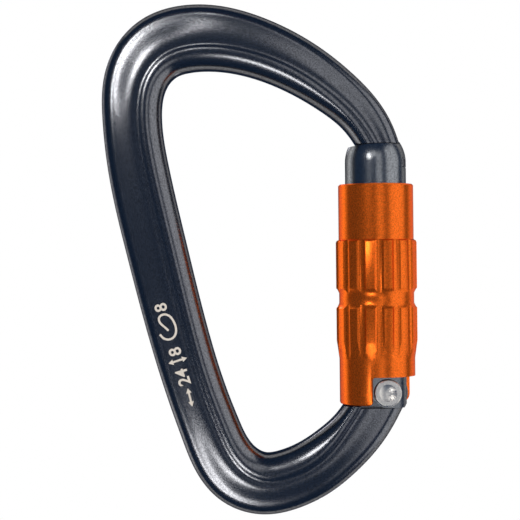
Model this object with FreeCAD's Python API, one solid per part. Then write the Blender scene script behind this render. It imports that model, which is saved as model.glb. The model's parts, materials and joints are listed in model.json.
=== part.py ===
import FreeCAD, Part
import math
import os

V = FreeCAD.Vector

# Large asymmetric D carabiner with an auto-locking sleeve.  Millimetres, +Z up.
# Everything is drawn about the hinge rivet: X points from the spine to the gate,
# Z along the closed gate, and Y is the thickness, with the front face towards -Y.
# place() then moves each piece so that the origin is the load point of the top basket.
BASKET_X, BASKET_Z = -39.0, 71.5

# ---- frame ----------------------------------------------------------------
# Stations along the middle of the forging, from inside the nose, over the top bow,
# down the spine and round the bottom bow to the hinge: x, z, width, how far the crest
# of the bead lies from the inner edge, and how much the face falls towards the outside.
STATIONS = [
    (0.15, 51.05, 8.1, 2, 0.25), (-2.5, 57.35, 9.2, 2.1, 0.25), (-5.9, 62.25, 9.8, 2.3, 0.25),
    (-10.3, 66.35, 10.6, 2.8, 0.25), (-17.65, 71.55, 11.8, 3.5, 0.25),
    (-28.4, 76.6, 13.15, 3.8, 0.25), (-37.2, 78.6, 14.2, 3.9, 0.3),
    (-43.6, 78.55, 14.6, 3.8, 0.6), (-48.9, 77, 14.6, 3.6, 0.95),
    (-53.1, 73.2, 14.3, 3.5, 1.05), (-55.3, 67.7, 13.6, 3.5, 0.85),
    (-55.7, 61.8, 13, 3.5, 0.45), (-54.4, 49.9, 13.2, 3.5, 0.3), (-50.6, 32.3, 13.3, 3.4, 0.3),
    (-46.3, 14.8, 13, 3.4, 0.3), (-41.1, -2.4, 12.9, 3.5, 0.4), (-39, -8.1, 13.1, 3.5, 0.6),
    (-36.6, -13.6, 13.45, 3.6, 0.9), (-32.8, -18.1, 13.75, 3.9, 1),
    (-27.5, -20.1, 13.4, 4.2, 0.8), (-21.6, -19.2, 13, 4.3, 0.5),
    (-16.2, -16.8, 12.7, 4.2, 0.35), (-11.3, -13.3, 12.2, 3.5, 0.3),
    (-7, -9.2, 11.7, 2.3, 0.25), (-4.2, -5.4, 11.6, 2, 0.25), (-1.4, -0.2, 11.6, 2, 0.25),
]
BEAD_HALF = 5.3          # half thickness at the crest of the inner bead
VALLEY_HALF = 5.0        # half thickness in the groove beside it
VALLEY_OFF = 2.2         # from the crest to the groove
GROOVE_LEAN = 0.12       # slope with which the face dips into the groove
RIM_LEAN = 0.1           # slope of a face that falls by 1 mm, where the rim's round ends
RIM_R = 2.6              # round of the outer edge
ROPE_DEPTH = 3.3         # how deep the bead's round goes before the flat inner wall
CREST_HANDLE = 0.36      # a shorter handle makes the crest tighter than its flank
ROUND = 0.5523           # handle length of a cubic that draws a quarter round
NOSE_GAP = 0.2           # between the nose and the gate's head
KEY_NECK, KEY_HEAD = 1.9, 3.4        # half widths of the T-shaped key in the nose
KEY_R0, KEY_R1 = 49.9, 51.6          # radii of its head about the rivet
KEY_INNER = -5.0                     # x of its inner end, against the slot's stop
KEY_TOP = 55.4                       # its root ends inside the bow
KEY_GAP = 0.2
TONGUE_HALF = 2.5
TONGUE_TOP = 4.6
TONGUE_ROUND = 4.6       # radius of the tongue's outer corner about the rivet
SHOULDER_Z, POCKET_Z, POCKET_X = -2.95, -3.45, -5.7

# ---- gate -----------------------------------------------------------------
GATE_X = -1.88           # the gate's axis; the rivet lies outside it
GATE_R = 6.75
GATE_TOP = 54.7          # radius of the gate's top about the rivet
DOME_Z0, DOME_MID, DOME_Z1 = 50.6, 53.0, 55.7    # start, middle and end of its round
DOME_BULGE, DOME_IN = 0.32, 1.7      # how far the round goes in, at its middle and end
HEAD_Z = 34.0            # underside of the head, where the sleeve spring bears
NECK_R, NECK_Z = 5.0, 4.0
FORK_HALF = 5.1
SLOT_HALF, SLOT_ROOF = 2.6, 6.2
EAR_BOTTOM = -3.3
EAR_R = 3.3
EAR_CORNER_R = 5.0       # round of the ears' lower outer corner about the rivet
HEEL_DIST, HEEL_ANGLE = 2.75, 246.0  # line that clears the frame when the gate is open
BORE_R, BORE_TOP = 1.65, 21.0
PIN_R, PIN_Z, PIN_POLAR = 1.0, 12.4, -37.5

# ---- rivet ----------------------------------------------------------------
RIVET_R, RIVET_HEAD_R, RIVET_HEAD_Y = 2.0, 3.05, 5.75
BACK_HEAD_R = 2.6        # flush countersunk head at the back
DIMPLE_R, DIMPLE_DEPTH = 1.9, 0.5
BORE_CLEARANCE = 0.05

# ---- sleeve ---------------------------------------------------------------
SLEEVE_BORE = 7.1
SLEEVE_TOP, SLEEVE_BOTTOM = 45.9, -2.64
PLAIN_R, SKIRT_R, RIB_R, WAIST_R = 8.31, 8.38, 8.95, 8.3
UPPER_RIBS = (22.6, 33.7)
LOWER_RIBS = (7.4, 18.9)
RIB_COUNT = 14
FLUTE_FLOOR, FLUTE_HALF = 8.42, 1.1
NOTCH_TOP, NOTCH_FROM, NOTCH_TO = 3.55, -12.0, 117.0
NOTCH_ROUND = 0.7        # round of its upper corners
SKIRT_ROUND, SKIRT_BACK_ROUND = 1.0, 2.2      # rounds of the skirt's two lower corners
LIFT, TWIST = 4.3, 75.0

# ---- guide bush, springs, plunger -------------------------------------------
BUSH_BORE, BUSH_Z0, BUSH_Z1 = 5.08, 4.7, 16.0
TRACK_HALF, TRACK_STEPS = 1.1, 15
RING_TOP = 16.9
SPRING_R, SPRING_WIRE, SPRING_TURNS = 6.0, 0.8, 5
PUSHER_R, PUSHER_TOP = 1.55, 9.6
GATE_SPRING_R, GATE_SPRING_WIRE, GATE_SPRING_TURNS = 1.2, 0.4, 6


def place(shape):
    """Move a piece from the rivet's frame to the part's frame."""
    return shape.translated(V(-BASKET_X, 0, -BASKET_Z))


def box(x0, x1, y0, y1, z0, z1):
    return Part.makeBox(x1 - x0, y1 - y0, z1 - z0, V(x0, y0, z0))


def y_disc(radius, y0, y1, x=0.0, z=0.0):
    """A round bar along Y, by default about the rivet."""
    return Part.makeCylinder(radius, y1 - y0, V(x, y0, z), V(0, 1, 0))


def gate_bar(radius, z0, z1):
    """A round bar along the gate's axis."""
    return Part.makeCylinder(radius, z1 - z0, V(GATE_X, 0, z0))


def turned(profile):
    """Revolve a closed outline of (radius, z) points about the gate's axis."""
    points = [V(GATE_X + r, 0, z) for r, z in profile]
    face = Part.Face(Part.makePolygon(points + points[:1]))
    return face.revolve(V(GATE_X, 0, 0), V(0, 0, 1), 360)


def polar(radius, degrees, z):
    """A point about the gate's axis; 0 is the front and 90 the outer side."""
    a = math.radians(degrees)
    return V(GATE_X + radius * math.sin(a), -radius * math.cos(a), z)


def dome_blank():
    """The turned blank of the gate's head; the key is turned with it, so they end flush."""
    x = GATE_X + GATE_R
    corners = [V(GATE_X, 0, HEAD_Z), V(x, 0, HEAD_Z), V(x, 0, DOME_Z0)]
    shoulder = V(x - DOME_IN, 0, DOME_Z1)
    edges = [Part.makeLine(a, b) for a, b in zip(corners, corners[1:])]
    edges += [Part.Arc(corners[-1], V(x - DOME_BULGE, 0, DOME_MID), shoulder).toShape(),
              Part.makeLine(shoulder, V(GATE_X, 0, DOME_Z1)),
              Part.makeLine(V(GATE_X, 0, DOME_Z1), corners[0])]
    return Part.Face(Part.Wire(edges)).revolve(V(GATE_X, 0, 0), V(0, 0, 1), 360)


# ---- frame ----------------------------------------------------------------
def half_section(width, bead, fall):
    """Handles of the four cubics that draw one face, as (inward, thickness) points: the
    outer round, the falling face, the rise out of the groove, and the rope's round."""
    face = VALLEY_HALF - fall
    crest = width - bead
    valley = crest - VALLEY_OFF
    third = (valley - RIM_R) / 3.0
    half_rise = VALLEY_OFF / 2.0
    lean = RIM_LEAN * fall
    wall = BEAD_HALF - ROPE_DEPTH
    return [
        [(0, face - RIM_R), (0, face - RIM_R * (1 - ROUND)),
         (RIM_R * (1 - ROUND), face - lean * RIM_R * ROUND), (RIM_R, face)],
        [(RIM_R, face), (RIM_R + third, face + lean * third),
         (valley - third, VALLEY_HALF + GROOVE_LEAN * third), (valley, VALLEY_HALF)],
        [(valley, VALLEY_HALF), (valley + half_rise, VALLEY_HALF - GROOVE_LEAN * half_rise),
         (crest - half_rise, BEAD_HALF), (crest, BEAD_HALF)],
        [(crest, BEAD_HALF), (crest + CREST_HANDLE * bead, BEAD_HALF),
         (width, wall + ROUND * ROPE_DEPTH), (width, wall)]]


def section(centre, across, width, bead, fall):
    """One closed cross-section of the forging, alike on the front and the back."""
    def point(u, t):
        return centre + across * (u - width / 2.0) + V(0, t, 0)

    def drawn(outlines):
        curves = [Part.BezierCurve() for _ in outlines]
        for curve, outline in zip(curves, outlines):
            curve.setPoles([point(u, t) for u, t in outline])
        return [curve.toShape() for curve in curves]

    cubics = half_section(width, bead, fall)
    rim, wall = cubics[0][0][1], cubics[-1][-1][1]
    front = drawn([[(u, -t) for u, t in c] for c in cubics])
    back = drawn([list(reversed(c)) for c in reversed(cubics)])
    outer = Part.makeLine(point(0, rim), point(0, -rim))
    inner = Part.makeLine(point(width, -wall), point(width, wall))
    return Part.Wire([outer] + front + [inner] + back)


def forging():
    """The forged bar, lofted through its stations."""
    line = Part.BSplineCurve()
    line.interpolate([V(s[0], 0, s[1]) for s in STATIONS])
    wires = []
    for x, z, width, bead, fall in STATIONS:
        centre = V(x, 0, z)
        along = line.tangent(line.parameter(centre))[0]
        wires.append(section(centre, V(-along.z, 0, along.x), width, bead, fall))
    return Part.makeLoft(wires, True, False)


def key(grow):
    """The T-shaped key of the nose, turned about the rivet; grow makes its slot."""
    head = y_disc(KEY_R1 + grow, -KEY_HEAD - grow, KEY_HEAD + grow)
    head = head.cut(y_disc(KEY_R0 - grow, -9, 9))
    neck = y_disc(57.0, -KEY_NECK - grow, KEY_NECK + grow).cut(y_disc(KEY_R1 - 0.5, -9, 9))
    return head.fuse(neck).common(
        box(KEY_INNER - grow, 12, -9, 9, 40, KEY_TOP + grow))


def tongue():
    """The plate of the frame that stands in the gate's fork."""
    t = TONGUE_HALF
    outline = [(-5.7, -5.0), (-5.7, 1.0), (-3.6, TONGUE_TOP), (0.0, TONGUE_TOP), (0.0, -5.0)]
    points = [V(x, -t, z) for x, z in outline]
    plate = Part.Face(Part.makePolygon(points + points[:1])).extrude(V(0, 2 * t, 0))
    return plate.fuse(y_disc(TONGUE_ROUND, -t, t)).removeSplitter()


def frame():
    body = forging()
    nose_cut = y_disc(GATE_TOP + NOSE_GAP, -9, 9).common(box(-16, 12, -9, 9, 40, 60))
    body = body.cut(nose_cut)
    body = body.fuse(key(0.0).common(dome_blank()))
    body = body.cut(box(-16, POCKET_X, -9, 9, SHOULDER_Z, 12))
    body = body.cut(box(POCKET_X, 12, -9, 9, POCKET_Z, 12))
    body = body.fuse(tongue())
    return body.cut(y_disc(RIVET_R + BORE_CLEARANCE, -9, 9)).removeSplitter()


# ---- gate -----------------------------------------------------------------
def gate_head():
    """The head, topped by an arc about the rivet and slotted for the key."""
    return dome_blank().common(y_disc(GATE_TOP, -9, 9)).cut(key(KEY_GAP))


def fork():
    """The two ears, cut back on the inner side so that the gate can swing in."""
    bar = gate_bar(GATE_R, EAR_BOTTOM - 2, NECK_Z).common(box(-12, 8, -FORK_HALF, FORK_HALF, -9, 9))
    a = math.radians(HEEL_ANGLE)
    n = V(math.cos(a), 0, math.sin(a))
    edge = V(-n.z, 0, n.x)
    corners = [n * HEEL_DIST + edge * 20, n * HEEL_DIST - edge * 20,
               n * 30 - edge * 20, n * 30 + edge * 20]
    heel = Part.Face(Part.makePolygon([c + V(0, -9, 0) for c in corners + corners[:1]]))
    heel = heel.extrude(V(0, 18, 0)).common(box(-12, 0, -9, 9, -12, 9))
    corner = box(0, 9, -9, 9, -9, 0).cut(y_disc(EAR_CORNER_R, -9, 9))
    bar = bar.cut(heel).cut(box(0, 9, -9, 9, -9, EAR_BOTTOM)).cut(corner)
    return bar.fuse(y_disc(EAR_R, -FORK_HALF, FORK_HALF).common(gate_bar(GATE_R, -5, 5)))


def pin_bars(radius, r0, r1):
    """Two opposite radial bars through the gate's neck."""
    bars = []
    for degrees in (PIN_POLAR, PIN_POLAR + 180):
        start, end = polar(r0, degrees, PIN_Z), polar(r1, degrees, PIN_Z)
        bars.append(Part.makeCylinder(radius, r1 - r0, start, end - start))
    return bars


def gate():
    body = gate_head().fuse([gate_bar(NECK_R, 3.0, HEAD_Z + 1), fork()]).removeSplitter()
    slot = box(-12, 8, -SLOT_HALF, SLOT_HALF, -9, SLOT_ROOF)
    body = body.cut(slot).cut(gate_bar(BORE_R, 5, BORE_TOP)).cut(y_disc(RIVET_R, -9, 9))
    body = body.cut(Part.makeCone(BACK_HEAD_R, RIVET_R, 0.8, V(0, FORK_HALF, 0), V(0, -1, 0)))
    for bar in pin_bars(PIN_R, 0.8, 6.0):
        body = body.cut(bar)
    return body


def hinge_rivet():
    """Shank, flush back head, and a dished front head with a rounded edge."""
    f = FORK_HALF
    shank = y_disc(RIVET_R, -f - 0.1, f)
    back = Part.makeCone(BACK_HEAD_R, RIVET_R, 0.8, V(0, f, 0), V(0, -1, 0))
    head = y_disc(RIVET_HEAD_R, -RIVET_HEAD_Y, -f)
    head = head.makeFillet(0.35, [e for e in head.Edges if e.CenterOfMass.y < -f - 0.1
                                  and len(e.Vertexes) == 1])
    ball_r = (DIMPLE_R ** 2 + DIMPLE_DEPTH ** 2) / (2 * DIMPLE_DEPTH)
    ball = Part.makeSphere(ball_r, V(0, -RIVET_HEAD_Y + DIMPLE_DEPTH - ball_r, 0))
    return shank.fuse([back, head]).cut(ball).removeSplitter()


# ---- sleeve ---------------------------------------------------------------
def sleeve_blank():
    lo0, lo1 = LOWER_RIBS
    up0, up1 = UPPER_RIBS
    profile = [
        (SLEEVE_BORE, SLEEVE_BOTTOM), (SKIRT_R - 0.5, SLEEVE_BOTTOM),
        (SKIRT_R - 0.15, SLEEVE_BOTTOM + 0.15), (SKIRT_R, SLEEVE_BOTTOM + 0.5),
        (SKIRT_R, lo0), (RIB_R - 0.1, lo0 + 3.4), (RIB_R, lo0 + 4.0), (RIB_R, lo1 - 0.35),
        (RIB_R - 0.3, lo1), (WAIST_R, lo1 + 0.75), (WAIST_R, up0 - 0.75), (RIB_R - 0.3, up0),
        (RIB_R, up0 + 0.35), (RIB_R, up1 - 0.7), (RIB_R - 0.15, up1 - 0.3), (PLAIN_R, up1),
        (PLAIN_R, SLEEVE_TOP - 0.3), (PLAIN_R - 0.3, SLEEVE_TOP), (SLEEVE_BORE + 0.15, SLEEVE_TOP),
        (SLEEVE_BORE, SLEEVE_TOP - 0.15)]
    return turned(profile)


def skirt_corner(r, side, degrees):
    """What rounds the skirt's lower corner beside the notch away; side is +1 or -1."""
    x, z = GATE_X + side * r, SLEEVE_BOTTOM
    sliver = box(min(x, GATE_X), max(x, GATE_X), -10, -6, z - 1, z + r)
    sliver = sliver.cut(y_disc(r, -11, -5, x, z + r))
    sliver.rotate(V(GATE_X, 0, 0), V(0, 0, 1), degrees)
    return sliver


def notch():
    """The opening of the skirt round the rivet, as a sector with rounded upper corners."""
    ring = [V(GATE_X + 6.0, 0, -8), V(GATE_X + 10.5, 0, -8),
            V(GATE_X + 10.5, 0, NOTCH_TOP), V(GATE_X + 6.0, 0, NOTCH_TOP)]
    face = Part.Face(Part.makePolygon(ring + ring[:1]))
    sector = face.revolve(V(GATE_X, 0, 0), V(0, 0, 1), NOTCH_TO - NOTCH_FROM)
    sector.rotate(V(GATE_X, 0, 0), V(0, 0, 1), NOTCH_FROM - 90)
    tops = [e for e in sector.Edges if abs(e.CenterOfMass.z - NOTCH_TOP) < 1e-6
            and isinstance(e.Curve, Part.Line)]
    return sector.makeFillet(NOTCH_ROUND, tops)


def lock_sleeve():
    body = sleeve_blank()
    rho = (FLUTE_HALF ** 2 + (RIB_R - FLUTE_FLOOR) ** 2) / (2 * (RIB_R - FLUTE_FLOOR))
    flutes = []
    for i in range(RIB_COUNT):
        foot = polar(FLUTE_FLOOR + rho, 360.0 * i / RIB_COUNT, 5.0)
        flutes.append(Part.makeCylinder(rho, 31.0, foot))
    body = body.cut(Part.makeCompound(flutes)).cut(notch())
    body = body.cut(skirt_corner(SKIRT_ROUND, -1, NOTCH_FROM))
    return body.cut(skirt_corner(SKIRT_BACK_ROUND, 1, NOTCH_TO))


def track(degrees):
    """One helical slot of the bush, swept round by the guide pin as the sleeve turns."""
    r0, r1 = BUSH_BORE - 0.6, SLEEVE_BORE + 0.6
    bars = []
    for i in range(TRACK_STEPS + 1):
        t = i / float(TRACK_STEPS)
        a, z = degrees + TWIST * t, PIN_Z - LIFT * t
        start, end = polar(r0, a, z), polar(r1, a, z)
        bars.append(Part.makeCylinder(TRACK_HALF, r1 - r0, start, end - start))
    return bars


def guide_bush(turn):
    """One half of the split bush; the back half is the front one turned by 180 degrees."""
    ring = gate_bar(SLEEVE_BORE, BUSH_Z0, BUSH_Z1).cut(gate_bar(BUSH_BORE, 0, 30))
    half = ring.common(box(-12, 8, -9, 0, 0, 30))
    for bar in track(PIN_POLAR):
        half = half.cut(bar)
    half.rotate(V(GATE_X, 0, 0), V(0, 0, 1), turn)
    return half


def thrust_ring():
    return gate_bar(SLEEVE_BORE - 0.3, BUSH_Z1, RING_TOP).cut(gate_bar(NECK_R + 0.15, 0, 30))


def coil(radius, wire, turns, z0, z1):
    """A compression spring between two flats, of six-sided wire, its end turns ground flat."""
    pitch = (z1 - z0 - 0.3 * wire) / turns
    helix = Part.makeHelix(pitch, pitch * turns, radius)
    low = z0 + 0.15 * wire
    helix.translate(V(GATE_X, 0, low))
    corners = [V(GATE_X + radius + 0.52 * wire * math.cos(math.radians(a)), 0,
                 low + 0.52 * wire * math.sin(math.radians(a))) for a in range(30, 420, 60)]
    body = Part.Wire(helix).makePipeShell([Part.makePolygon(corners)], True, True)
    return body.common(gate_bar(radius + wire, z0, z1))


def gate_plunger():
    stem = gate_bar(PUSHER_R, TONGUE_TOP + 0.7, PUSHER_TOP)
    tip = Part.makeSphere(2.1, V(GATE_X, 0, TONGUE_TOP + 0.02 + 2.1)).common(
        gate_bar(PUSHER_R, TONGUE_TOP - 1, TONGUE_TOP + 1.2))
    return stem.fuse(tip).removeSplitter()


PIECES = {
    "frame": frame,
    "gate": gate,
    "hinge_rivet": hinge_rivet,
    "gate_plunger": gate_plunger,
    "gate_spring": lambda: coil(GATE_SPRING_R, GATE_SPRING_WIRE, GATE_SPRING_TURNS,
                                PUSHER_TOP, BORE_TOP),
    "lock_sleeve": lock_sleeve,
    "guide_bush_front": lambda: guide_bush(0),
    "guide_bush_back": lambda: guide_bush(180),
    "guide_pins": lambda: Part.makeCompound(pin_bars(PIN_R, 2.2, 6.9)),
    "thrust_ring": thrust_ring,
    "sleeve_spring": lambda: coil(SPRING_R, SPRING_WIRE, SPRING_TURNS, RING_TOP, HEAD_Z),
}

os.makedirs("parts", exist_ok=True)
for node, make in PIECES.items():
    shape = place(make())
    b = shape.BoundBox
    print("%-18s solids %d valid %s volume %8.1f  x %.2f %.2f  y %.2f %.2f  z %.2f %.2f" % (
        node, len(shape.Solids), shape.isValid(), shape.Volume,
        b.XMin, b.XMax, b.YMin, b.YMax, b.ZMin, b.ZMax))
    shape.exportStep("parts/" + node + ".step")
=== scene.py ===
# %% [markdown]
# # A large D carabiner with an auto-locking sleeve
#
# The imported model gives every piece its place, in metres. The origin is where the rope
# bears under the top bow, +Z runs up along the closed gate and the front face looks
# towards -Y. This lesson dresses that frame: first the room and the camera, then the
# finishes, then the pieces one by one.

# %% Load the frame
import bmesh
import bpy
import json
import math
import numpy as np
from mathutils import Matrix, Vector


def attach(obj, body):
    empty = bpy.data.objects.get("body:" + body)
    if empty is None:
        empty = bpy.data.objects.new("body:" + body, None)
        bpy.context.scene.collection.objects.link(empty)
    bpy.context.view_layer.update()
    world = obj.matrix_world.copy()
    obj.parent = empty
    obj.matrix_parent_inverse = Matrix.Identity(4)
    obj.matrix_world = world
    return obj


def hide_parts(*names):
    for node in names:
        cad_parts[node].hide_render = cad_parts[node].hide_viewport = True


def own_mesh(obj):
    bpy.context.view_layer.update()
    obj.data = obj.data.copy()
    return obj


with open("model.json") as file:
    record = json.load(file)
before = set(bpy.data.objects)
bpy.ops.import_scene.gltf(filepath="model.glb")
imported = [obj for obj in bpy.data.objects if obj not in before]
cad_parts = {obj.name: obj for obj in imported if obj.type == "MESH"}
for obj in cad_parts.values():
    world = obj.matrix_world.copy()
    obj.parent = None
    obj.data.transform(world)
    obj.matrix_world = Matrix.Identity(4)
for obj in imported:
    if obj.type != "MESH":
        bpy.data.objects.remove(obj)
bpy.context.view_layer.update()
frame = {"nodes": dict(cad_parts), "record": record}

MM = 0.001
nodes = frame["nodes"]
print("pieces:", sorted(nodes))

# %% [markdown]
# ## Helpers
# A colour is written as the hex value a screen would show, and one function turns it to
# the linear numbers that a shader wants. A second small function adds a shader node with
# its settings and its links, so that each material below reads as a short recipe. A third
# makes an object from points and faces, in the scene and ready for a material.

# %% Colours, shader nodes and mesh objects
def linear(code):
    """Hex colour to linear RGBA: the sRGB curve undone channel by channel."""
    parts = np.array([int(code[i:i + 2], 16) for i in (1, 3, 5)]) / 255.0
    low = parts / 12.92
    high = ((parts + 0.055) / 1.055) ** 2.4
    return (*np.where(parts <= 0.04045, low, high).tolist(), 1.0)


def add(tree, kind, links=None, values=None, **settings):
    """Add one node: settings are its properties, values its sockets, links its inputs."""
    node = tree.nodes.new(kind)
    for name, value in settings.items():
        setattr(node, name, value)
    for name, value in (values or {}).items():
        node.inputs[name].default_value = value
    for name, source in (links or {}).items():
        tree.links.new(source, node.inputs[name])
    return node


def new_material(name):
    """An empty material with a Principled shader on its output."""
    mat = bpy.data.materials.new(name)
    mat.use_nodes = True
    mat.node_tree.nodes.clear()
    shader = add(mat.node_tree, "ShaderNodeBsdfPrincipled")
    add(mat.node_tree, "ShaderNodeOutputMaterial", {"Surface": shader.outputs[0]})
    return mat, mat.node_tree, shader


def mesh_object(name, points, faces):
    """A new object in the scene, with a mesh of its own."""
    mesh = bpy.data.meshes.new(name)
    mesh.from_pydata(points, [], faces)
    mesh.update()
    obj = bpy.data.objects.new(name, mesh)
    bpy.context.scene.collection.objects.link(obj)
    return obj


print("helpers: linear, add, new_material, mesh_object")

# %% [markdown]
# ## The room
# Dark metal shows little but what it mirrors, so the room is built from what each face is
# to show. The floor, the ceiling and two curved walls are white and stand behind the piece.
# Between the walls, and all round the lens, the room stays a dim blue, which is what turns
# the flat faces navy. Matt surfaces gather the light of a plain pale room instead, so that
# their colours come out about as they are written.
#
# Small soft boxes high and low on the left draw the bright patches on the two left corners,
# and a smaller one above the lens lights the crown of the top bow. A tall panel on the right
# fills the sleeve, and a dim one beside the lens greys the faces near the gate. Two rear
# boxes and a rear panel do the same for the back.

# %% Camera
VIEW_X, VIEW_Z = 11.31 * MM, -42.08 * MM     # the point that the lens looks at
DISTANCE = 370 * MM
FIELD = 115.44 * MM                          # width of the field at the piece
ROLL = math.radians(0.6)
SENSOR = 36.0                                # width of the sensor, in millimetres

camera = bpy.data.objects.new("camera", bpy.data.cameras.new("camera"))
bpy.context.scene.collection.objects.link(camera)
camera.data.sensor_width = SENSOR
camera.data.lens = SENSOR * DISTANCE / FIELD
camera.data.clip_start, camera.data.clip_end = 0.01, 10.0
camera.matrix_world = (Matrix.Translation((VIEW_X, -DISTANCE, VIEW_Z))
                       @ Matrix.Rotation(ROLL, 4, "Y") @ Matrix.Rotation(math.pi / 2, 4, "X"))
bpy.context.scene.camera = camera
bpy.context.scene.view_settings.view_transform = "Standard"
print("lens", round(camera.data.lens, 1), "mm")

# %% Walls, floor and ceiling
def wall_material(name, code):
    """A pale painted wall that the lens, mirrors and glass see as plain white."""
    mat, tree, shader = new_material(name)
    shader.inputs["Base Color"].default_value = linear(code)
    shader.inputs["Roughness"].default_value = 0.9
    path = add(tree, "ShaderNodeLightPath")
    seen = add(tree, "ShaderNodeMath", {0: path.outputs["Is Camera Ray"],
                                        1: path.outputs["Is Glossy Ray"]}, operation="MAXIMUM")
    seen = add(tree, "ShaderNodeMath", {0: seen.outputs[0],
                                        1: path.outputs["Is Transmission Ray"]}, operation="MAXIMUM")
    glow = add(tree, "ShaderNodeEmission", values={"Color": (1, 1, 1, 1), "Strength": 1.0})
    mix = add(tree, "ShaderNodeMixShader", {0: seen.outputs[0], 1: shader.outputs[0],
                                            2: glow.outputs[0]})
    tree.links.new(mix.outputs[0], tree.nodes["Material Output"].inputs["Surface"])
    return mat


MIDDLE = (0.011, 0.0, -0.042)                # the middle of the piece
FLOOR_Z, ROOM_TOP = -0.7, 1.6
ROOM_R, WALL_COLUMNS = 1.6, 60               # radius of the curved walls, points along each
SHEET_HALF_X, SHEET_HALF_Y = 1.7, 0.85       # half sizes of the floor and of the ceiling
SHEET_Y = 0.86                               # their middle, so that both begin behind the piece
white_wall = wall_material("painted_white_wall", "#EDEDED")


def room_face(name, points, faces):
    """One white face of the room."""
    obj = mesh_object(name, points, faces)
    obj.data.materials.append(white_wall)


def curved_wall(name, start, end):
    """A wall on a circle round the piece, between two azimuths: x is the sine, y minus the
    cosine."""
    a = np.radians(np.linspace(start, end, WALL_COLUMNS))
    foot = np.stack([MIDDLE[0] + ROOM_R * np.sin(a), -ROOM_R * np.cos(a),
                     np.full(WALL_COLUMNS, FLOOR_Z)], -1)
    rows = np.concatenate([foot, foot + [0, 0, ROOM_TOP - FLOOR_Z]])
    here = np.arange(WALL_COLUMNS - 1)
    above = here + WALL_COLUMNS
    room_face(name, rows.tolist(), np.stack([here, here + 1, above + 1, above], -1).tolist())


for name, height in (("floor", FLOOR_Z), ("ceiling", ROOM_TOP)):
    corners = [(SHEET_HALF_X * i, SHEET_Y + SHEET_HALF_Y * j, height)
               for i, j in ((-1, -1), (1, -1), (1, 1), (-1, 1))]
    room_face(name, corners, [(0, 1, 2, 3)])
curved_wall("backdrop_right", 115, 158)
curved_wall("backdrop_left", 202, 245)
print("room faces: floor, ceiling and two walls")

# %% Lamps
def soft_box(name, place, aim, size_x, size_y, radiance):
    """A rectangular lamp at place, turned to face aim. Its power follows from the brightness
    of its face: radiance x pi x area."""
    data = bpy.data.lights.new(name, "AREA")
    data.shape, data.size, data.size_y = "RECTANGLE", size_x, size_y
    data.energy = radiance * math.pi * size_x * size_y
    obj = bpy.data.objects.new(name, data)
    bpy.context.scene.collection.objects.link(obj)
    direction = Vector(aim) - Vector(place)
    obj.matrix_world = (Matrix.Translation(place)
                        @ direction.to_track_quat("-Z", "Y").to_matrix().to_4x4())


def around(azimuth, elevation, distance):
    """A place round the piece: azimuth 0 is the lens side, positive to its right."""
    a, e = math.radians(azimuth), math.radians(elevation)
    way = Vector((math.sin(a) * math.cos(e), -math.cos(a) * math.cos(e), math.sin(e)))
    return Vector(MIDDLE) + distance * way


LAMPS = (    # name, azimuth and elevation in degrees, distance, width, height, radiance
    ("left_box", -25, 22, 0.5, 0.085, 0.105, 15.0),
    ("low_box", -18, -27, 0.5, 0.15, 0.085, 9.0),
    ("crown_box", -6, 30, 0.5, 0.04, 0.07, 7.0),
    ("right_panel", 66, 0, 0.42, 0.39, 0.8, 1.1),
    ("rear_high_box", 205, 22, 0.6, 0.12, 0.14, 10.0),
    ("rear_low_box", 164, -27, 0.6, 0.12, 0.12, 8.0),
    ("rear_left_panel", 246, 0, 0.42, 0.25, 0.6, 0.8),
)
for name, azimuth, elevation, distance, *face in LAMPS:
    soft_box(name, around(azimuth, elevation, distance), MIDDLE, *face)
FRONT_PLACE, FRONT_AIM = (0.074, -0.2, -0.01), (0.074, 0, -0.01)
soft_box("front_panel", FRONT_PLACE, FRONT_AIM, 0.075, 0.24, 0.85)
print("lamps:", len(LAMPS) + 1)

# %% What the open room shows to each kind of ray
world = bpy.data.worlds.new("room")
bpy.context.scene.world = world
world.use_nodes = True
world.node_tree.nodes.clear()


def sky(code):
    """A background of one colour."""
    return add(world.node_tree, "ShaderNodeBackground", values={"Color": linear(code), "Strength": 1.0})


ray = add(world.node_tree, "ShaderNodeLightPath")
mirrored, gathered, seen = sky("#324A6B"), sky("#C8C4BE"), sky("#FFFFFF")
light = add(world.node_tree, "ShaderNodeMixShader",
            {0: ray.outputs["Is Diffuse Ray"], 1: mirrored.outputs[0], 2: gathered.outputs[0]})
room_mix = add(world.node_tree, "ShaderNodeMixShader",
               {0: ray.outputs["Is Camera Ray"], 1: light.outputs[0], 2: seen.outputs[0]})
add(world.node_tree, "ShaderNodeOutputWorld", {"Surface": room_mix.outputs[0]})
print("world: white to the lens, dim blue to mirrors, pale to matt surfaces")
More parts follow.
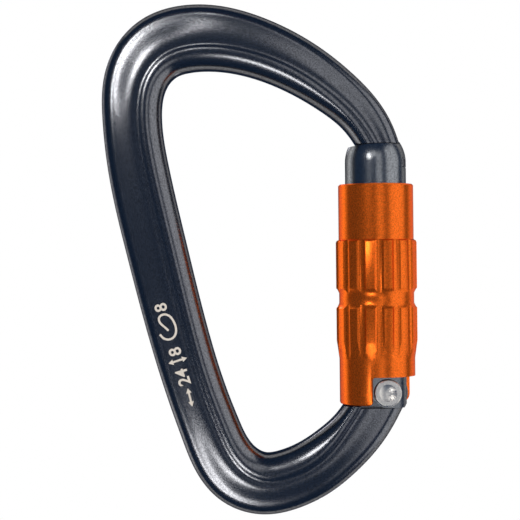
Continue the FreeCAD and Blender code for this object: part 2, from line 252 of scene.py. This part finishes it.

# %% [markdown]
# ## Finishes
# The frame and the gate are aluminium, blasted with fine grit and then anodised in a dark
# grey that the dim room turns to navy. The grit leaves a satin skin. Its faint sparkle and the
# shade in its pits are painted into the colour as a fine noise, over the grit's own mottling.
# Dyed oxide stays dark where the light glances off it, so each finish has an edge colour.

# %% Anodised, bare, bleached and moulded
def satin(name, code, roughness, grit_mm, grit_depth, grit_mottle_and_painted_sparkle=0.0, metallic=1.0, edge="#8C8C90"):
    """A satin surface. One fine noise is the grit's height, and it also lightens and darkens the
    colour: value = 1 + speckle x (noise - 0.5). That colour noise is partly the grit's own
    mottling and partly painted light: the sparkle of the grit and the shade in its pits. Both the
    size and the depth of the grit are in millimetres. The edge colour tints what the surface
    shows at a glancing angle. Metallic is 0 for the bleached marks and the moulded bush."""
    mat, tree, shader = new_material(name)
    shader.inputs["Metallic"].default_value = metallic
    shader.inputs["Roughness"].default_value = roughness
    shader.inputs["Specular Tint"].default_value = linear(edge)
    place = add(tree, "ShaderNodeTexCoord").outputs["Object"]
    grit = add(tree, "ShaderNodeTexNoise", {"Vector": place},
               {"Scale": 1.0 / (grit_mm * MM), "Detail": 2.0, "Roughness": 0.6})
    # painted sparkle and pit shade: the grit noise lightens and darkens the base colour, over the grit's
    # own mottling
    value = add(tree, "ShaderNodeMapRange", {"Value": grit.outputs["Fac"]},
                {"To Min": 1 - grit_mottle_and_painted_sparkle / 2, "To Max": 1 + grit_mottle_and_painted_sparkle / 2})
    grit_and_sparkle_colour = add(tree, "ShaderNodeHueSaturation", {"Value": value.outputs[0]}, {"Color": linear(code)})
    bump = add(tree, "ShaderNodeBump", {"Height": grit.outputs["Fac"]},
               {"Strength": 1.0, "Distance": grit_depth * MM})
    tree.links.new(grit_and_sparkle_colour.outputs[0], shader.inputs["Base Color"])
    tree.links.new(bump.outputs[0], shader.inputs["Normal"])
    return mat


# The sixth number is the strength of the colour noise: partly the grit's mottling, partly painted sparkle
# and pit shade.
finishes = {
    "frame": satin("blasted_anodised_aluminium_navy", "#6C6C6E", 0.22, 0.3, 0.0045, 2.0),
    "gate": satin("turned_anodised_aluminium_navy", "#818283", 0.25, 0.3, 0.003, 1.6),
    "lock_sleeve": satin("anodised_aluminium_orange", "#E8671E", 0.28, 0.3, 0.004, 1.6, 0.82, "#E8A070"),
    "hinge_rivet": satin("bare_stainless_steel", "#D8D2C8", 0.38, 0.3, 0.006, 0.8, edge="#FFFFFF"),
    "inner": satin("drawn_spring_steel", "#9A9A98", 0.3, 0.2, 0.004),
    "mark": satin("laser_bleached_oxide", "#D2CBC3", 0.6, 0.3, 0.002, 0.3, 0.0),
    "bush": satin("moulded_acetal", "#161616", 0.45, 0.2, 0.004, 0.0, 0.0),
}
print("finishes:", sorted(finishes))

# %% [markdown]
# ## The forged frame
# A bar of aluminium is bent, squeezed hot between two dies and trimmed. The dies leave a
# wide face that falls a little towards the outside, a shallow valley, and a raised bead on
# the inner side, which is rounded where the rope runs. It could be modelled as a curve with
# a bevel, but then the section could not change. Here the section is drawn with four
# cubic curves whose sizes change from station to station, and is carried along a smooth
# line through the stations as one numpy grid.

# %% Stations and the smooth line through them
ORIGIN = np.array([-39.0, 71.5])         # the part's origin, seen from the hinge rivet
STATIONS = np.array([                    # x, z, width, bead, fall of the face
    (0.15, 51.05, 8.1, 2, 0.25), (-2.5, 57.35, 9.2, 2.1, 0.25), (-5.9, 62.25, 9.8, 2.3, 0.25),
    (-10.3, 66.35, 10.6, 2.8, 0.25), (-17.65, 71.55, 11.8, 3.5, 0.25),
    (-28.4, 76.6, 13.15, 3.8, 0.25), (-37.2, 78.6, 14.2, 3.9, 0.3),
    (-43.6, 78.55, 14.6, 3.8, 0.6), (-48.9, 77, 14.6, 3.6, 0.95),
    (-53.1, 73.2, 14.3, 3.5, 1.05), (-55.3, 67.7, 13.6, 3.5, 0.85),
    (-55.7, 61.8, 13, 3.5, 0.45), (-54.4, 49.9, 13.2, 3.5, 0.3), (-50.6, 32.3, 13.3, 3.4, 0.3),
    (-46.3, 14.8, 13, 3.4, 0.3), (-41.1, -2.4, 12.9, 3.5, 0.4), (-39, -8.1, 13.1, 3.5, 0.6),
    (-36.6, -13.6, 13.45, 3.6, 0.9), (-32.8, -18.1, 13.75, 3.9, 1),
    (-27.5, -20.1, 13.4, 4.2, 0.8), (-21.6, -19.2, 13, 4.3, 0.5),
    (-16.2, -16.8, 12.7, 4.2, 0.35), (-11.3, -13.3, 12.2, 3.5, 0.3),
    (-7, -9.2, 11.7, 2.3, 0.25), (-4.2, -5.4, 11.6, 2, 0.25), (-1.4, -0.2, 11.6, 2, 0.25)])
BEAD_HALF, VALLEY_HALF = 5.3, 5.0        # half the thickness at the bead and in the valley
VALLEY_OFF = 2.2                         # from the valley across to the bead's crest
RIM_R = 2.6                              # the outer round
RIM_LEAN, GROOVE_LEAN = 0.1, 0.12        # slopes at the two ends of the falling face
ROPE_DEPTH, CREST_HANDLE = 3.3, 0.36     # depth of the rope's round, its handle per bead
ROUND = 0.5523                           # the handle that makes a cubic a quarter circle
GATE_X, GATE_R = -1.88, 6.75             # axis and radius of the gate's head
BAR_ROWS = 460                           # sections along the bar
RIM_POINTS, FALL_POINTS, RISE_POINTS, ROPE_POINTS = 15, 17, 15, 21    # along each cubic
WALL_POINTS = 5                          # across the flat inner wall


def smooth_line(points, count):
    """Natural cubic spline through rows of numbers, by distance between the first two
    columns. Returns count rows and their slopes. The second derivatives, called bend, come
    from the usual three-term equations, solved together."""
    step = np.hypot(*np.diff(points[:, :2], axis=0).T)
    at = np.concatenate([[0], np.cumsum(step)])
    size = len(points)
    system, right = np.eye(size), np.zeros_like(points)
    inner = np.arange(1, size - 1)
    system[inner, inner - 1], system[inner, inner + 1] = step[:-1], step[1:]
    system[inner, inner] = 2 * (step[:-1] + step[1:])
    rise = np.diff(points, axis=0) / step[:, None]
    right[inner] = 6 * (rise[1:] - rise[:-1])
    bend = np.linalg.solve(system, right)
    t = np.linspace(0, at[-1], count)
    k = np.clip(np.searchsorted(at, t) - 1, 0, size - 2)
    h, a, b = step[k][:, None], (at[k + 1] - t)[:, None], (t - at[k])[:, None]
    p, q, m, n = points[k], points[k + 1], bend[k], bend[k + 1]
    value = (m * a ** 3 + n * b ** 3) / (6 * h) + (p / h - m * h / 6) * a + (q / h - n * h / 6) * b
    slope = (n * b ** 2 - m * a ** 2) / (2 * h) + (q - p) / h - (n - m) * h / 6
    return value, slope


line, slope = smooth_line(STATIONS, BAR_ROWS)
travel = np.concatenate([[0], np.cumsum(np.hypot(*np.diff(line[:, :2], axis=0).T))])
print("length of the bar", round(float(travel[-1]), 1), "mm")

# %% The section as four cubics, and the bar as one grid
def cubic(handles, count):
    """Points on cubic curves: the four handles weighted by the Bernstein polynomials."""
    t = np.linspace(0, 1, count)[:-1]
    weights = np.stack([(1 - t) ** 3, 3 * t * (1 - t) ** 2, 3 * t ** 2 * (1 - t), t ** 3])
    return np.einsum("nhc,hk->nkc", handles, weights)


def half_section(width, bead, fall):
    """Inward distance and thickness along one face: the outer round, the falling face, the
    rise out of the groove and the rope's round, each one cubic."""
    zero = np.zeros_like(width)
    face, crest = VALLEY_HALF - fall, width - bead
    valley = crest - VALLEY_OFF
    third, half_rise = (valley - RIM_R) / 3, VALLEY_OFF / 2
    lean, wall = RIM_LEAN * fall, BEAD_HALF - ROPE_DEPTH
    flat, top, deep = zero + RIM_R, zero + BEAD_HALF, zero + VALLEY_HALF

    def handles(*pairs):
        return np.stack([np.stack(p, -1) for p in pairs], 1)

    rim = handles((zero, face - RIM_R), (zero, face - RIM_R * (1 - ROUND)),
                  (flat * (1 - ROUND), face - lean * RIM_R * ROUND), (flat, face))
    fall_line = handles((flat, face), (flat + third, face + lean * third),
                        (valley - third, deep + GROOVE_LEAN * third), (valley, deep))
    rise = handles((valley, deep), (valley + half_rise, deep - GROOVE_LEAN * half_rise),
                   (crest - half_rise, top), (crest, top))
    rope = handles((crest, top), (crest + CREST_HANDLE * bead, top),
                   (width, zero + wall + ROUND * ROPE_DEPTH), (width, zero + wall))
    return np.concatenate([cubic(rim, RIM_POINTS), cubic(fall_line, FALL_POINTS),
                           cubic(rise, RISE_POINTS), cubic(rope, ROPE_POINTS)], axis=1)


def closed_section(width, bead, fall):
    """The whole outline: the front face with negative thickness, the flat inner wall, and
    the back face reversed."""
    front = half_section(width, bead, fall)
    wall = BEAD_HALF - ROPE_DEPTH
    inner = np.stack([np.stack([width, np.full_like(width, t)], -1)
                      for t in np.linspace(wall, -wall, WALL_POINTS)], 1)
    return np.concatenate([front, inner, front[:, ::-1] * [1, -1]], axis=1) * [1, -1]


def to_part(points):
    """From millimetres about the rivet to metres in the part's frame."""
    points = np.array(points, float)
    points[..., 0] -= ORIGIN[0]
    points[..., 2] -= ORIGIN[1]
    return points * MM


def grid_mesh(name, points):
    """A closed tube from a grid of points, rows along and columns round, with flat caps."""
    rows, cols = points.shape[:2]
    here = np.arange(rows * cols).reshape(rows, cols)
    right = np.roll(here, -1, 1)
    quads = np.stack([here[:-1], right[:-1], right[1:], here[1:]], -1)
    faces = quads.reshape(-1, 4).tolist() + [here[0, ::-1].tolist(), here[-1].tolist()]
    return mesh_object(name, points.reshape(-1, 3).tolist(), faces)


section = closed_section(line[:, 2], line[:, 3], line[:, 4])
along = slope[:, :2] / np.linalg.norm(slope[:, :2], axis=1, keepdims=True)
across = np.stack([-along[:, 1], along[:, 0]], -1)
offset = section[..., 0] - line[:, None, 2] / 2
bar = np.stack([line[:, None, 0] + across[:, None, 0] * offset, section[..., 1],
                line[:, None, 1] + across[:, None, 1] * offset], -1)
forging = grid_mesh("forged_frame", to_part(bar))
print("bar", bar.shape)

# %% [markdown]
# ## Machining the two ends
# After forging, the nose is milled to a T-shaped key that the gate's head hooks over, and
# the other end to a flat tongue that stands in the gate's fork. The cutters are simple
# prisms along the thickness. A boolean is the natural tool here, because the real part is
# made in the same way: metal is taken away from a finished bar.

# %% Cutters and joined pieces
CUT_HALF = 9                                     # the cutters reach past both faces
NOSE_R, NOSE_LEFT, NOSE_RIGHT, NOSE_LOW = 54.9, -16.0, 12.0, 40.0
KEY_FROM, KEY_TO = -5.0, 9.0                     # the key and its neck, from x to x
KEY_INNER, KEY_OUTER, KEY_HALF = 49.9, 51.6, 3.4
NECK_INNER, NECK_OUTER, NECK_HALF = 51.3, 55.3, 1.9
HINGE_LEFT, HINGE_RIGHT, HINGE_TOP = -16, 14, 14
SHOULDER_LEFT, SHOULDER_RIGHT = -2.95, -3.45     # the bar's end, on the two sides of TONGUE_X
TONGUE_X, TONGUE_R, TONGUE_HALF = -5.7, 4.6, 2.5
BORE_R, BORE_HALF = 2.05, 4                      # the rivet's hole, cut past the tongue


def arc(radius, start, end, count):
    """Points on a circle about the rivet, between two angles in degrees."""
    a = np.radians(np.linspace(start, end, count))
    return np.stack([radius * np.cos(a), radius * np.sin(a)], -1)


def angle_at(radius, x):
    """The angle at which a circle about the rivet passes a given x, above the rivet."""
    return math.degrees(math.acos(x / radius))


def outward(obj):
    """Merge doubles and turn every face outwards."""
    bm = bmesh.new()
    bm.from_mesh(obj.data)
    bmesh.ops.remove_doubles(bm, verts=bm.verts, dist=1e-7)
    bmesh.ops.recalc_face_normals(bm, faces=bm.faces)
    bm.to_mesh(obj.data)
    bm.free()


def prism(name, outline, half):
    """An outline in the plane of the frame, carried straight through to half on both sides."""
    outline = np.asarray(outline, float)
    rows = [np.stack([outline[:, 0], np.full(len(outline), y), outline[:, 1]], -1) for y in (-half, half)]
    obj = grid_mesh(name, to_part(np.stack(rows)))
    outward(obj)
    return obj


def combine(target, tool, operation):
    """Apply one exact boolean and drop the tool."""
    mod = target.modifiers.new(operation.lower(), "BOOLEAN")
    mod.operation, mod.object, mod.solver = operation, tool, "EXACT"
    graph = bpy.context.evaluated_depsgraph_get()
    made = bpy.data.meshes.new_from_object(target.evaluated_get(graph))
    target.modifiers.clear()
    target.data = made
    bpy.data.objects.remove(tool)


def ring_block(name, inner, outer, half):
    """A block as long as the key, bounded by two arcs about the rivet."""
    near = arc(inner, angle_at(inner, KEY_TO), angle_at(inner, KEY_FROM), 24)
    far = arc(outer, angle_at(outer, KEY_FROM), angle_at(outer, KEY_TO), 24)
    return prism(name, np.concatenate([near, far]), half)


def dome(name, low=45.0, count=96):
    """The gate's head as a turned blank: a straight wall, then an arc through three points."""
    (x1, z1), (x2, z2), (x3, z3) = (GATE_R, 50.6), (GATE_R - 0.32, 53.0), (GATE_R - 1.7, 55.7)
    system = np.array([[x1, z1, 1], [x2, z2, 1], [x3, z3, 1]])
    cx, cz, _ = np.linalg.solve(system, [(x1 ** 2 + z1 ** 2) / 2, (x2 ** 2 + z2 ** 2) / 2,
                                         (x3 ** 2 + z3 ** 2) / 2])
    round_r = math.hypot(x1 - cx, z1 - cz)
    a = np.linspace(math.atan2(z1 - cz, x1 - cx), math.atan2(z3 - cz, x3 - cx), 20)
    r = np.concatenate([[GATE_R], cx + round_r * np.cos(a)])
    z = np.concatenate([[low], cz + round_r * np.sin(a)])
    turn = np.linspace(0, 2 * math.pi, count, endpoint=False)
    rows = np.stack([GATE_X + r[:, None] * np.cos(turn), r[:, None] * np.sin(turn),
                     z[:, None] + 0 * turn], -1)
    obj = grid_mesh(name, to_part(rows))
    outward(obj)
    return obj


outward(forging)
nose_cut = np.concatenate([
    arc(NOSE_R, angle_at(NOSE_R, NOSE_RIGHT), angle_at(NOSE_R, NOSE_LEFT), 60),
    [(NOSE_LEFT, NOSE_LOW), (NOSE_RIGHT, NOSE_LOW)]])
hinge_cut = [(HINGE_LEFT, SHOULDER_LEFT), (TONGUE_X, SHOULDER_LEFT), (TONGUE_X, SHOULDER_RIGHT),
             (HINGE_RIGHT, SHOULDER_RIGHT), (HINGE_RIGHT, HINGE_TOP), (HINGE_LEFT, HINGE_TOP)]
combine(forging, prism("nose_cutter", nose_cut, CUT_HALF), "DIFFERENCE")
combine(forging, prism("hinge_cutter", hinge_cut, CUT_HALF), "DIFFERENCE")

key = ring_block("nose_key", KEY_INNER, KEY_OUTER, KEY_HALF)
combine(key, ring_block("key_neck", NECK_INNER, NECK_OUTER, NECK_HALF), "UNION")
combine(key, dome("key_turning"), "INTERSECT")
combine(forging, key, "UNION")

tongue_side = np.concatenate([[(TONGUE_X, -TONGUE_R), (TONGUE_X, 1.0), (-3.6, TONGUE_R)],
                              arc(TONGUE_R, 90, -90, 40)])
combine(forging, prism("hinge_tongue", tongue_side, TONGUE_HALF), "UNION")
combine(forging, prism("rivet_bore", arc(BORE_R, 0, 354, 60), BORE_HALF), "DIFFERENCE")

# %% Body, finish and shading of a piece
SMOOTH_ANGLE = 32.0                              # edges that turn by more stay sharp, in degrees
BODY_OF = {n: b for b, ns in frame["record"]["behaviour"]["bodies"].items() for n in ns}


def dress(obj, node, mat, angle=SMOOTH_ANGLE):
    """Give a piece its finish, its smooth shading and its body, and hide the imported node that it stands
    for.
    """
    obj.data.materials.clear()
    obj.data.materials.append(mat)
    obj.data.shade_smooth()
    obj.data.set_sharp_from_angle(angle=math.radians(angle))
    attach(obj, BODY_OF[node])
    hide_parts(node)


dress(forging, "frame", finishes["frame"])
print("frame faces", len(forging.data.polygons))

# %% [markdown]
# ## Engraved marks
# The spine carries a few pale laser marks: a load figure with an arrow for each direction,
# and a third figure with the sign of an open gate. Each mark is drawn flat, in millimetres
# along the bar and across it, and is then laid on the face by looking up the same section,
# so that it follows the falling surface.

# %% Laying flat shapes on the bar
faces_only = half_section(line[:, 2], line[:, 3], line[:, 4])


def on_bar(flat, proud):
    """Distance along, distance across and height of each point to a place in the part:
    the bar's next row along gives the face's thickness, interpolated across."""
    row = np.clip(np.searchsorted(travel, flat[:, 0]), 0, len(travel) - 1)
    thick = np.array([np.interp(u, faces_only[r, :, 0], faces_only[r, :, 1])
                      for r, u in zip(row, flat[:, 1])])
    blend = [np.interp(flat[:, 0], travel, v) for v in (line[:, 0], line[:, 1], line[:, 2],
                                                        across[:, 0], across[:, 1])]
    inward = flat[:, 1] - blend[2] / 2
    return to_part(np.stack([blend[0] + blend[3] * inward, -(thick + proud),
                             blend[1] + blend[4] * inward], -1))


def laid(name, flat, high, faces):
    """A mesh from flat points and heights, laid on the bar and closed."""
    obj = mesh_object(name, on_bar(flat, high).tolist(), faces)
    outward(obj)
    obj.data.materials.append(finishes["mark"])
    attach(obj, BODY_OF["frame"])


# %% Pens, arrow heads and figures, in millimetres
MARK_LOW, MARK_HIGH = -0.04, 0.06                # foot and top of a mark over the face
FIGURE_HEIGHT, FIGURE_SHARE = 2.7, 0.72          # height of a digit, and its share of the font's size
FIGURE_BOLD = 0.06                               # the pen is this much wider to each side
ARROW_PEN, SIGN_PEN = 0.42, 0.46                 # widths of the lines
HEAD, HEAD_HALF = 1.1, 0.55                      # length of an arrow head, its half width per length
SHAFT_INSET = 0.8                                # the shaft ends this far inside the head's tip


def stroke(name, points, width):
    """A pen line through flat points: each point moved half the width to both sides."""
    points = np.asarray(points, float)
    way = np.gradient(points, axis=0)
    way /= np.linalg.norm(way, axis=1, keepdims=True)
    side = np.stack([-way[:, 1], way[:, 0]], -1) * width / 2
    left, right = points + side, points - side
    ring = np.concatenate([left, right[::-1]])
    count = len(ring)
    flat = np.concatenate([ring, ring])
    high = np.repeat([MARK_HIGH, MARK_LOW], count)
    faces, half = [], len(points)
    for i in range(half - 1):
        top = [i, i + 1, count - 2 - i, count - 1 - i]
        faces += [top, [v + count for v in reversed(top)]]
    for i in range(count):
        j = (i + 1) % count
        faces.append([i, i + count, j + count, j])
    laid(name, flat, high, faces)


def arrow_head(name, tip, toward):
    """A small solid triangle with its tip at a flat point."""
    side = np.array([-toward[1], toward[0]])
    corners = np.array([tip, tip - toward * HEAD + side * HEAD * HEAD_HALF,
                        tip - toward * HEAD - side * HEAD * HEAD_HALF])
    faces = [[0, 1, 2], [5, 4, 3], [0, 3, 4, 1], [1, 4, 5, 2], [2, 5, 3, 0]]
    laid(name, np.concatenate([corners, corners]), np.repeat([MARK_HIGH, MARK_LOW], 3), faces)


def figures(name, text, along_mm, across_mm):
    """Digits from the built-in font, reading up the spine, laid on the bar."""
    curve = bpy.data.curves.new(name, "FONT")
    curve.body, curve.align_x, curve.align_y = text, "CENTER", "CENTER"
    curve.size, curve.offset = FIGURE_HEIGHT / FIGURE_SHARE, FIGURE_BOLD
    curve.extrude, curve.resolution_u = 0.02, 6
    pen = bpy.data.objects.new(name + "_pen", curve)
    bpy.context.scene.collection.objects.link(pen)
    mesh = bpy.data.meshes.new_from_object(pen.evaluated_get(bpy.context.evaluated_depsgraph_get()))
    bpy.data.objects.remove(pen)
    points = np.empty(len(mesh.vertices) * 3)
    mesh.vertices.foreach_get("co", points)
    points = points.reshape(-1, 3)
    flat = np.stack([along_mm - points[:, 0], across_mm - points[:, 1]], -1)
    high = np.where(points[:, 2] > 0, MARK_HIGH, MARK_LOW)
    laid(name, flat, high, [list(p.vertices) for p in mesh.polygons])


# %% The marks, each point as distance along the bar and in from its outer rim
ARROWS = {"major": ((139.8, 5.1), (143.9, 4.75)), "minor": ((133.5, 2.7), (133.4, 7.0))}
OPEN_GATE = np.array([(126.6, 4.8), (125.5, 4.1), (124.4, 3.45), (123.45, 3.5), (122.95, 4.2),
                      (123.05, 5.2), (123.7, 5.95), (124.8, 6.4), (126.0, 6.55), (127.3, 6.3),
                      (128.2, 5.6), (128.5, 4.7), (128.35, 3.9), (127.8, 3.2), (126.9, 2.75)])
figures("mark_major", "24", 137.2, 5.0)
figures("mark_minor", "8", 131.4, 5.0)
figures("mark_open", "8", 121.3, 4.65)
for name, ends in ARROWS.items():
    start, end = np.array(ends)
    way = (end - start) / np.linalg.norm(end - start)
    shaft = np.linspace(start + way * SHAFT_INSET, end - way * SHAFT_INSET, 6)
    stroke("arrow_" + name, shaft, ARROW_PEN)
    arrow_head("arrow_%s_start" % name, start, -way)
    arrow_head("arrow_%s_end" % name, end, way)
fine, _ = smooth_line(np.concatenate([OPEN_GATE, OPEN_GATE[:, :1] * 0], axis=1), 60)
stroke("open_gate_sign", fine[:, :2], SIGN_PEN)

# %% [markdown]
# ## Smooth skins for the other solids
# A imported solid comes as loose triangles, so light would break at every facet. Each of
# these pieces is a copy with its vertices merged and its shading smoothed up to an angle.

# %% Merged copies
RIVET_ANGLE = 15.0                               # the rivet's dish has shallower edges to keep


def merge_corners(obj):
    """Merge the loose triangles' corners and drop the stored normals."""
    bm = bmesh.new()
    bm.from_mesh(obj.data)
    bmesh.ops.remove_doubles(bm, verts=bm.verts, dist=1e-6)
    bm.to_mesh(obj.data)
    bm.free()
    if "custom_normal" in obj.data.attributes:
        obj.data.attributes.remove(obj.data.attributes["custom_normal"])


def finish_of(node):
    """A node's own finish, or the bush's or the inner steel's."""
    if node in finishes:
        return finishes[node]
    return finishes["bush" if "bush" in node else "inner"]


def skin(node):
    """A merged copy of a node's mesh, dressed to stand for it."""
    obj = bpy.data.objects.new(node + "_skin", nodes[node].data.copy())
    bpy.context.scene.collection.objects.link(obj)
    merge_corners(obj)
    dress(obj, node, finish_of(node), RIVET_ANGLE if node == "hinge_rivet" else SMOOTH_ANGLE)
    return obj


skins = {node: skin(node) for node in nodes if node != "frame"}
for obj in skins.values():
    print(obj.name, len(obj.data.polygons))

# %% [markdown]
# ## Springs
# Both springs stand against the gate's head side at their upper end. When the gate swings
# in, the plunger and the sleeve's thrust ring rise, and each spring shortens by the travel
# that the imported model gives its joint.

# %% Springs that shorten
for node, joint in (("sleeve_spring", "sleeve_lift"), ("gate_spring", "plunger_slide")):
    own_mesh(skins[node])
